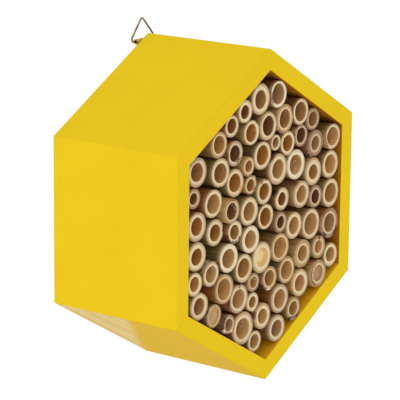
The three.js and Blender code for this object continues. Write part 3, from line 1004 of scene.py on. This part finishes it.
def add_hanger_plate():
    """The brass sheet lies up the back and curls round the ring's wire."""
    low, high = box_mm("hanger_plate")
    middle_x = (low.x + high.x) / 2
    sheet_y = low.y + SHEET / 2
    path = []  # the sheet's middle line, and the direction through the sheet
    for share in (0, 0.02, 0.2, 0.4, 0.6, 0.8, 0.98):
        z = low.z + (PIVOT.z - low.z) * share
        path.append((Vector((middle_x, sheet_y, z)), Vector((0, -1, 0))))
    steps = 48
    for step in range(steps + 1):
        turn = math.pi - CURL_SWEEP * step / steps
        outward = Vector((0, math.cos(turn), math.sin(turn)))
        path.append((Vector((middle_x, PIVOT.y, PIVOT.z)) + outward * (PIVOT.y - sheet_y), outward))
    section = rounded_strip(SHEET, high.x - low.x, SHEET_EDGE)
    points = [tuple(place + through * a + Vector((b, 0, 0))) for place, through in path for a, b in section]
    faces = band_faces(len(path), len(section)) + end_faces(len(points), len(section))
    plate = add_piece("brass_plate", points, faces, brass, replaces=["hanger_plate"])
    around = 32
    for side in ("left", "right"):
        nail_low, nail_high = box_mm(f"hanger_nail_{side}")
        x, z = (nail_low.x + nail_high.x) / 2, (nail_low.z + nail_high.z) / 2
        # from in front of the sheet to behind it
        rings = [(a, y, b) for y in (low.y - 1, low.y + 1.2) for a, b in circle(x, z, NAIL_HOLE, around)]
        faces = band_faces(2, around) + end_faces(2 * around, around)
        cutter = add_object("nail_hole", solid_mesh("nail_hole", rings, faces))
        cut = plate.modifiers.new("hole", "BOOLEAN")
        cut.object = cutter
        cut.solver = "EXACT"
        bpy.context.view_layer.update()
        whole = plate.evaluated_get(bpy.context.evaluated_depsgraph_get())
        plate.data = bpy.data.meshes.new_from_object(whole)
        plate.modifiers.clear()
        bpy.data.objects.remove(cutter)
    plate.data.set_sharp_from_angle(angle=math.radians(40))


def add_hanger_nails():
    """Round-headed nails, each a turned profile from its point to the top of its head."""
    around = 40
    lip = 0.07  # the straight part of a head's rim
    for side in ("left", "right"):
        node = f"hanger_nail_{side}"
        low, high = box_mm(node)
        x, z = (low.x + high.x) / 2, (low.z + high.z) / 2
        head = (high.x - low.x) / 2
        seat = high.y - NAIL_DOME
        profile = [(0.08, low.y), (NAIL_SHANK * 0.5, low.y + 0.8), (NAIL_SHANK, low.y + 1.6)]
        profile += [(NAIL_SHANK, seat - 0.2), (NAIL_SHANK + 0.04, seat - 0.02)]
        profile += [(head - 0.08, seat), (head, seat + lip)]
        for turn in np.radians(np.arange(9, 90, 9)):
            profile.append((head * math.cos(turn), seat + lip + (NAIL_DOME - lip) * math.sin(turn)))
        points = [(x, low.y, z)]
        for radius, y in profile:
            points += [(a, y, b) for a, b in circle(x, z, radius, around)]
        last = len(points)
        points.append((x, high.y, z))
        faces = band_faces(len(profile), around, start=1)
        faces += fan_faces(0, 1, around) + fan_faces(last, last - around, around)
        add_piece(f"brass_nail_{side}", points, faces, brass, replaces=[node])


def add_hanger_ring():
    """One wire bent to a rounded triangle, whose two ends meet in the middle of its straight side."""
    wire, corner_radius, top_radius, half_gap = 0.5, 1.4, 1.5, 0.3
    half_base, height = 10.9, 12.6  # of the same triangle with sharp corners
    lean = math.radians(4)
    slope = math.atan2(height, half_base)
    outward = 90 - math.degrees(slope)  # where a leg faces
    corner_x = half_base - corner_radius / math.tan(slope / 2)
    top_z = height - top_radius / math.cos(slope)
    corner = arc(corner_x, corner_radius, corner_radius, -90, 90 + outward, 16)
    top = arc(0, top_z, top_radius, outward, 90 - outward, 8)
    half = between((half_gap, 0), corner[0], np.arange(16) / 16) + corner
    half += between(corner[-1], top[0], np.arange(1, 24) / 24) + top
    flat = np.array(half + [(-x, z) for x, z in half[-2::-1]])
    tangent = np.gradient(flat, axis=0)
    tangent /= np.linalg.norm(tangent, axis=1)[:, None]
    # Each station: which point of the line, how thick, and how far past it, for the wire's rounded ends.
    last = len(flat) - 1
    stations = [(0, 0.55, -0.12), (0, 0.85, -0.06)] + [(i, 1.0, 0.0) for i in range(last + 1)]
    stations += [(last, 0.85, 0.06), (last, 0.55, 0.12)]
    around = 20
    points = []
    for i, size, past in stations:
        (x, z), (tx, tz) = flat[i], tangent[i]
        for a, b in circle(0, 0, wire * size, around):
            points.append((x + tx * past - tz * a, b, z + tz * past + tx * a))
    faces = band_faces(len(stations), around) + end_faces(len(points), around)
    turned = Matrix.Rotation(-lean, 4, "X")
    placed = [tuple(turned @ Vector(p) + PIVOT) for p in points]
    add_piece("wire_ring", placed, faces, wire_brass, "ring", ["hanger_ring"])


# ---- Build --------------------------------------------------------------------------------
for board_index, board_name in enumerate(BOARDS):
    add_board(board_name, 60 * board_index)
add_back_panel()
add_canes()
add_hanger_plate()
add_hanger_nails()
add_hanger_ring()


# ---- Studio -------------------------------------------------------------------------------
def direction(azimuth, elevation):
    """From the object outwards, with angles in radians. Azimuth 0 is straight in front."""
    level = math.cos(elevation)
    return Vector((math.sin(azimuth) * level, -math.cos(azimuth) * level, math.sin(elevation)))


def add_area_light(name, azimuth, elevation, distance, size, power):
    """A soft round lamp that faces the object's middle."""
    away = direction(math.radians(azimuth), math.radians(elevation))
    lamp = bpy.data.lights.new(name, "AREA")
    lamp.shape = "DISK"
    lamp.size = size
    lamp.energy = power
    holder = add_object(name, lamp)
    holder.location = Vector((0, FRONT / 2 * MM, 0)) + away * distance
    holder.rotation_euler = away.to_track_quat("Z", "Y").to_euler()


def add_studio():
    """A plain white background and floor, with three soft lamps."""
    world = bpy.data.worlds.new("studio")
    world.use_nodes = True
    background = world.node_tree.nodes["Background"]
    background.inputs["Color"].default_value = (1, 1, 1, 1)
    bpy.context.scene.world = world
    mesh = bpy.data.meshes.new("floor")
    z = cad_box[0].z - FLOOR_DROP * MM
    corners = [(x * FLOOR_REACH, y * FLOOR_REACH, z) for x, y in ((-1, -1), (1, -1), (1, 1), (-1, 1))]
    mesh.from_pydata(corners, [], [(0, 1, 2, 3)])
    mesh.materials.append(floor_material())
    floor = add_object("floor", mesh)
    add_area_light("left_light", -100, 12, distance=1.6, size=1.2, power=2.2)
    add_area_light("front_light", -50, 8, distance=1.8, size=1.2, power=4.4)
    add_area_light("top_light", -35, 62, distance=1.6, size=1.0, power=1.2)


def add_camera():
    azimuth, elevation, roll = (math.radians(CAMERA[key]) for key in ("azimuth", "elevation", "roll"))
    back = direction(azimuth, elevation)
    level_right = Vector((math.cos(azimuth), math.sin(azimuth), 0))
    level_up = back.cross(level_right)
    right = level_right * math.cos(roll) + level_up * math.sin(roll)
    up = level_up * math.cos(roll) - level_right * math.sin(roll)
    lens = bpy.data.cameras.new("camera")
    lens.sensor_width = 36.0
    lens.lens = CAMERA["lens"]
    lens.clip_start, lens.clip_end = 0.05, 50
    camera = add_object("camera", lens)
    place = (Vector(CAMERA["target"]) + back * CAMERA["distance"]) * MM
    camera.matrix_world = Matrix((
        (right.x, up.x, back.x, place.x),
        (right.y, up.y, back.y, place.y),
        (right.z, up.z, back.z, place.z),
        (0, 0, 0, 1),
    ))
    bpy.context.scene.camera = camera


add_studio()
add_camera()
bpy.context.scene.view_settings.view_transform = "Standard"
